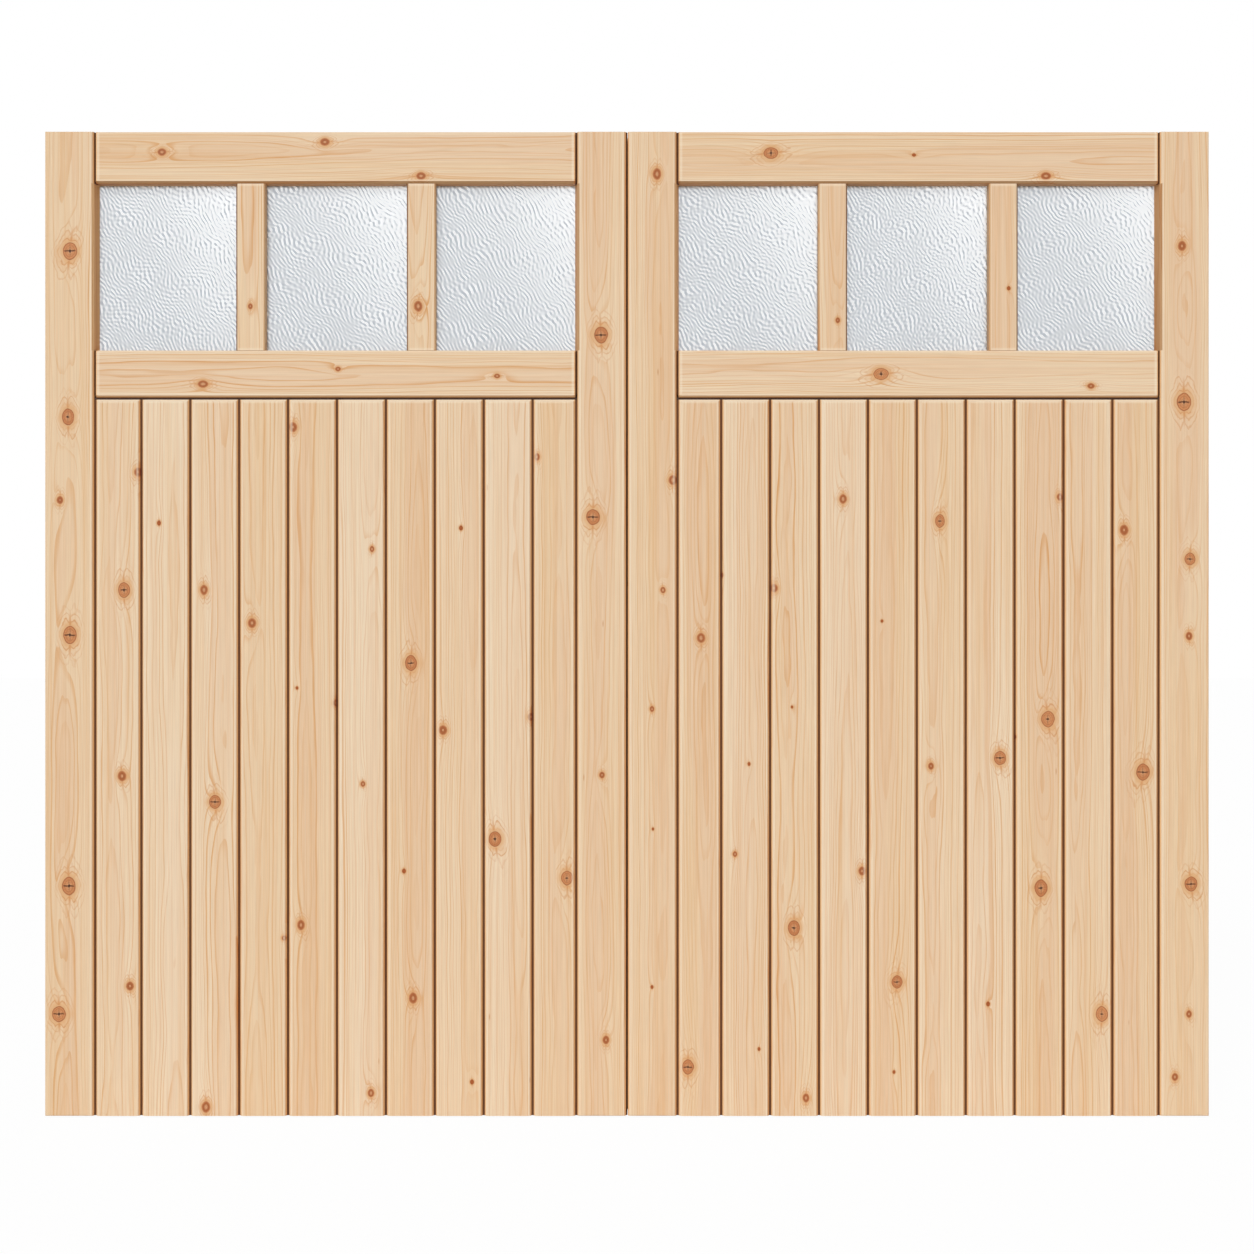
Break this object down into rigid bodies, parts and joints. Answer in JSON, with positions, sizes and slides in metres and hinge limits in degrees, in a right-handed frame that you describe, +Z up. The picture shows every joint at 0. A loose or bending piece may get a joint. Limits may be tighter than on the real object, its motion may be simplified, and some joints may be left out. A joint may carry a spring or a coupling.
{
  "type": "pair of side-hung timber garage doors",
  "caption": "Side-hung timber garage doors: vertical tongued and grooved boards in a pine frame, under a row of small obscured panes, on butt hinges that let the leaves open inwards.",
  "frame": {"origin": "on the mounting face of the lowest left hinge, at its mid height and halfway through the thickness of the leaf", "axes": "+X to the right across both leaves as seen from outside, +Y inwards from the outside face, +Z up"},
  "size_m": [2.3534, 0.06, 1.981],
  "materials": {
    "pine_framing": "planed, unpainted knotty pine",
    "pine_boards": "planed, unpainted knotty pine",
    "pine_ledges": "sawn and planed, unpainted pine",
    "pine_glazing": "planed, unpainted pine",
    "obscured_glass": "rolled, rippled on one face",
    "hinge_steel": "bright zinc plated"
  },
  "bodies": {
    "frame_hinges": {"left_frame_hinges": "hinge_steel", "right_frame_hinges": "hinge_steel"},
    "left_leaf": {"left_hanging_stile": "pine_framing", "left_meeting_stile": "pine_framing", "left_top_rail": "pine_framing", "left_middle_rail": "pine_framing", "left_bottom_rail": "pine_ledges", "left_brace": "pine_ledges", "left_board_01": "pine_boards", "left_board_02": "pine_boards", "left_board_03": "pine_boards", "left_board_04": "pine_boards", "left_board_05": "pine_boards", "left_board_06": "pine_boards", "left_board_07": "pine_boards", "left_board_08": "pine_boards", "left_board_09": "pine_boards", "left_board_10": "pine_boards", "left_glazing_bar_1": "pine_glazing", "left_glazing_bar_2": "pine_glazing", "left_glazing_beads": "pine_glazing", "left_glass": "obscured_glass", "left_door_hinges": "hinge_steel", "left_cover_strip": "pine_ledges"},
    "right_leaf": {"right_hanging_stile": "pine_framing", "right_meeting_stile": "pine_framing", "right_top_rail": "pine_framing", "right_middle_rail": "pine_framing", "right_bottom_rail": "pine_ledges", "right_brace": "pine_ledges", "right_board_01": "pine_boards", "right_board_02": "pine_boards", "right_board_03": "pine_boards", "right_board_04": "pine_boards", "right_board_05": "pine_boards", "right_board_06": "pine_boards", "right_board_07": "pine_boards", "right_board_08": "pine_boards", "right_board_09": "pine_boards", "right_board_10": "pine_boards", "right_glazing_bar_1": "pine_glazing", "right_glazing_bar_2": "pine_glazing", "right_glazing_beads": "pine_glazing", "right_glass": "obscured_glass", "right_door_hinges": "hinge_steel"}
  },
  "joints": [
    {"name": "left_leaf_swing", "type": "hinge", "parent": "frame_hinges", "child": "left_leaf", "pos_m": [0.00275, 0.0285, 0], "axis": [0, 0, 1], "range_deg": [0, 90]},
    {"name": "right_leaf_swing", "type": "hinge", "parent": "frame_hinges", "child": "right_leaf", "pos_m": [2.34525, 0.0285, 0], "axis": [0, 0, -1], "range_deg": [0, 90]}
  ]
}
